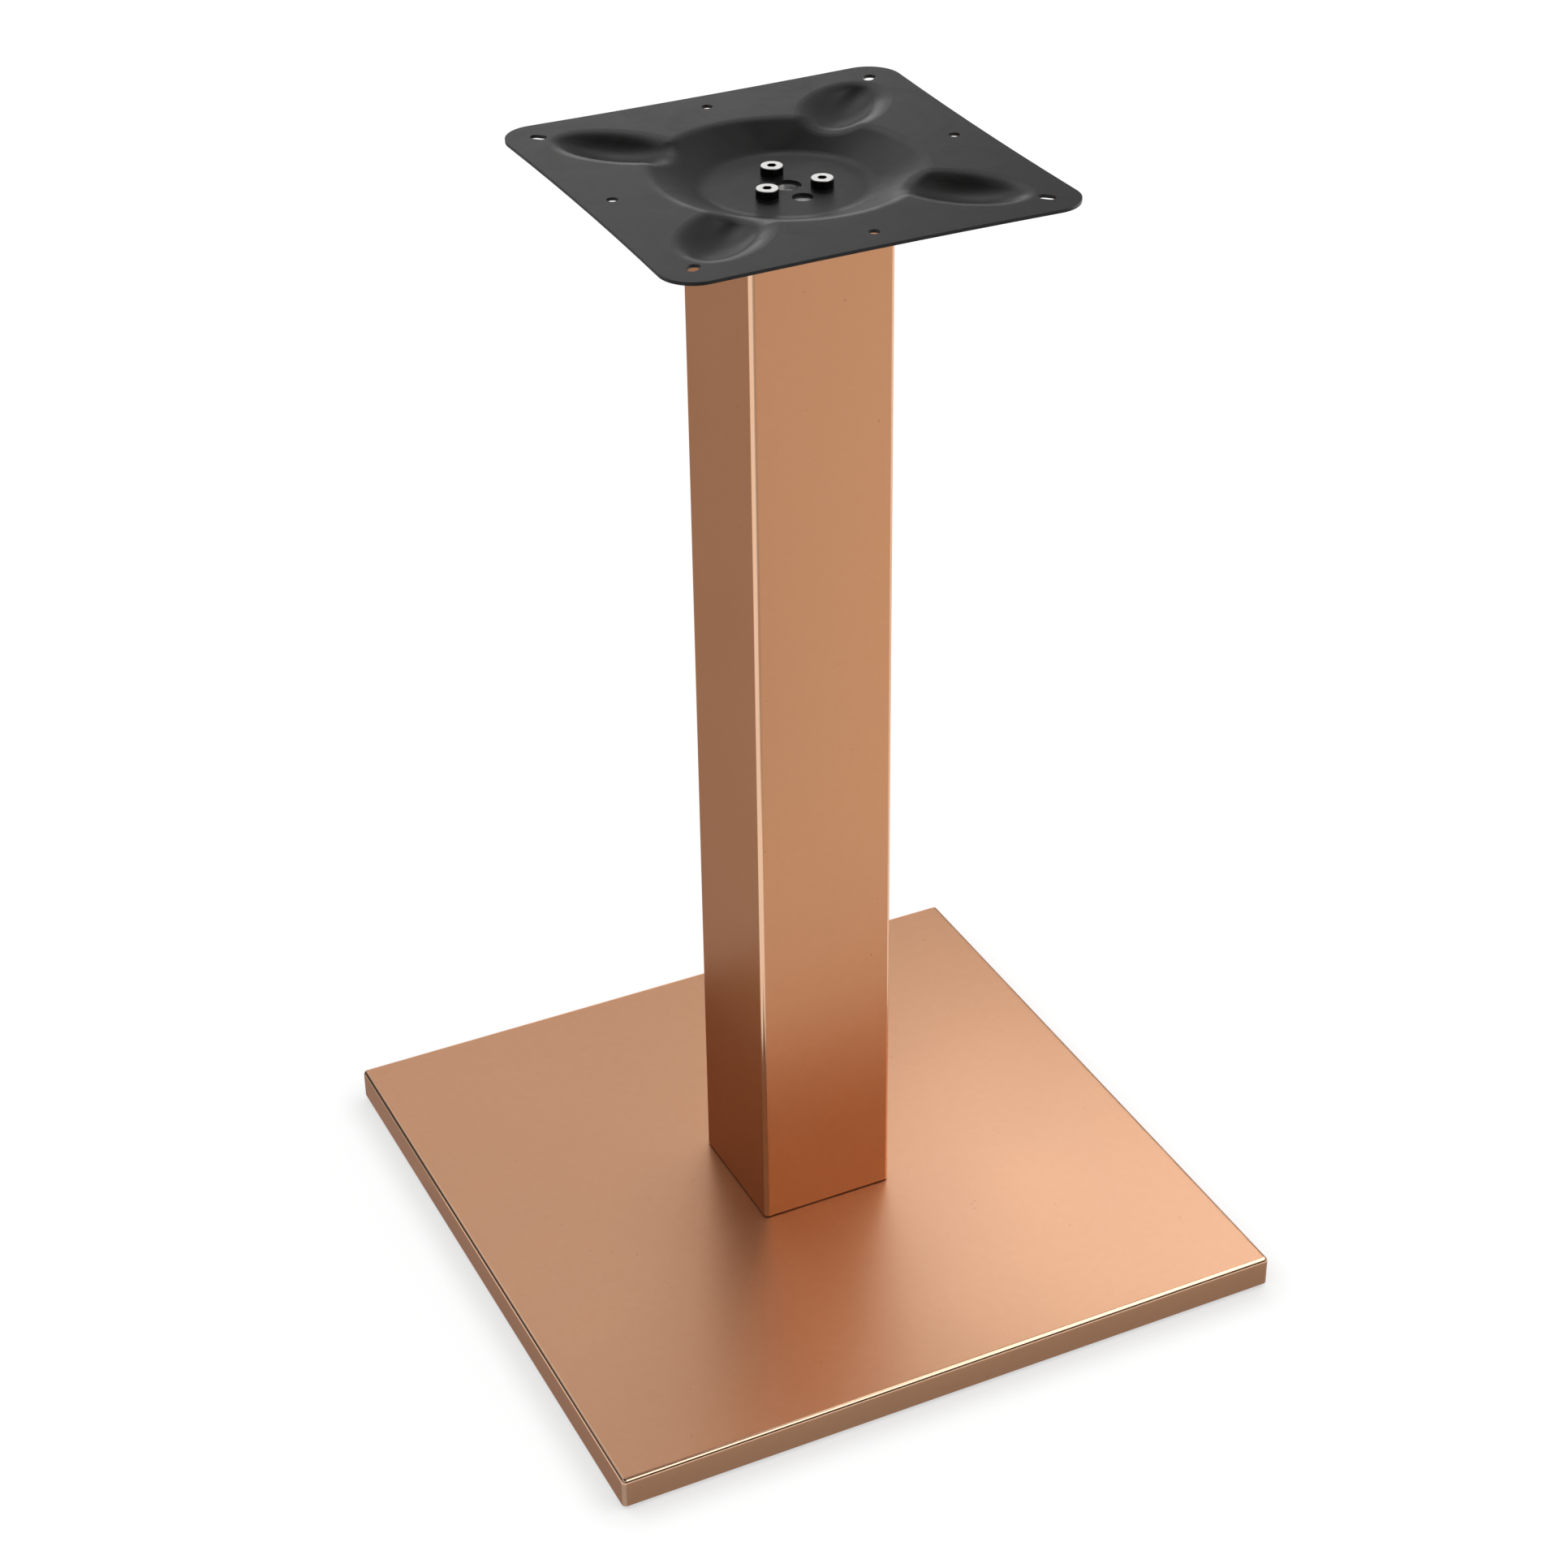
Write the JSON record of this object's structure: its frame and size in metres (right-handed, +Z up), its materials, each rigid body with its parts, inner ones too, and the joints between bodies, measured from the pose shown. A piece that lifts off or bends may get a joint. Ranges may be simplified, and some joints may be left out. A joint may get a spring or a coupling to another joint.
{
  "type": "square table base",
  "caption": "Square pedestal table base: a weighted foot under a folded sheet cover, a square tube column and a pressed plate with a dished middle that the table top is screwed to.",
  "frame": {"origin": "on the floor under the middle of the foot", "axes": "+Z up along the column; -Y towards the wide face seen in the picture, -X towards the narrow one; all three axes square to the foot's sides"},
  "size_m": [0.45, 0.45, 0.72],
  "materials": {
    "copper_sheet": "satin rose-copper coating on stainless steel sheet",
    "copper_tube": "satin rose-copper coating on stainless steel tube",
    "black_pressing": "satin black coating on pressed steel",
    "zinc_screw": "bright zinc plating",
    "zinc_fastener": "zinc plating",
    "bare_steel": "bare rolled steel",
    "ballast_steel": "black primer on thick steel plate",
    "nylon_pad": "moulded black nylon"
  },
  "bodies": {
    "base": {"base_cover": "copper_sheet", "ballast_plate": "ballast_steel", "column_tube": "copper_tube", "column_foot_plate": "bare_steel", "column_head_plate": "bare_steel", "head_weld_nut": "zinc_fastener", "tie_rod": "zinc_fastener", "clamp_washer": "zinc_fastener", "clamp_nut": "zinc_fastener", "locating_pins": "zinc_fastener", "top_plate": "black_pressing", "top_plate_screws": "zinc_screw"},
    "pad_1": {"foot_pad_1": "nylon_pad"},
    "stud_1": {"foot_stud_1": "zinc_fastener"},
    "pad_2": {"foot_pad_2": "nylon_pad"},
    "stud_2": {"foot_stud_2": "zinc_fastener"},
    "pad_3": {"foot_pad_3": "nylon_pad"},
    "stud_3": {"foot_stud_3": "zinc_fastener"},
    "pad_4": {"foot_pad_4": "nylon_pad"},
    "stud_4": {"foot_stud_4": "zinc_fastener"}
  },
  "joints": [
    {"name": "foot_1_height", "type": "slide", "parent": "base", "child": "pad_1", "axis": [0, 0, -1], "range_m": [0, 0.004]},
    {"name": "foot_1_turn", "type": "hinge", "parent": "pad_1", "child": "stud_1", "pos_m": [-0.185, -0.185, 0.011], "axis": [0, 0, -1], "range_deg": [0, 1152]},
    {"name": "foot_2_height", "type": "slide", "parent": "base", "child": "pad_2", "axis": [0, 0, -1], "range_m": [0, 0.004]},
    {"name": "foot_2_turn", "type": "hinge", "parent": "pad_2", "child": "stud_2", "pos_m": [0.185, -0.185, 0.011], "axis": [0, 0, -1], "range_deg": [0, 1152]},
    {"name": "foot_3_height", "type": "slide", "parent": "base", "child": "pad_3", "axis": [0, 0, -1], "range_m": [0, 0.004]},
    {"name": "foot_3_turn", "type": "hinge", "parent": "pad_3", "child": "stud_3", "pos_m": [0.185, 0.185, 0.011], "axis": [0, 0, -1], "range_deg": [0, 1152]},
    {"name": "foot_4_height", "type": "slide", "parent": "base", "child": "pad_4", "axis": [0, 0, -1], "range_m": [0, 0.004]},
    {"name": "foot_4_turn", "type": "hinge", "parent": "pad_4", "child": "stud_4", "pos_m": [-0.185, 0.185, 0.011], "axis": [0, 0, -1], "range_deg": [0, 1152]}
  ],
  "couplings": [
    {"joint": "foot_1_turn", "follows": "foot_1_height", "rad_per_m": 5026.5},
    {"joint": "foot_2_turn", "follows": "foot_2_height", "rad_per_m": 5026.5},
    {"joint": "foot_3_turn", "follows": "foot_3_height", "rad_per_m": 5026.5},
    {"joint": "foot_4_turn", "follows": "foot_4_height", "rad_per_m": 5026.5}
  ]
}
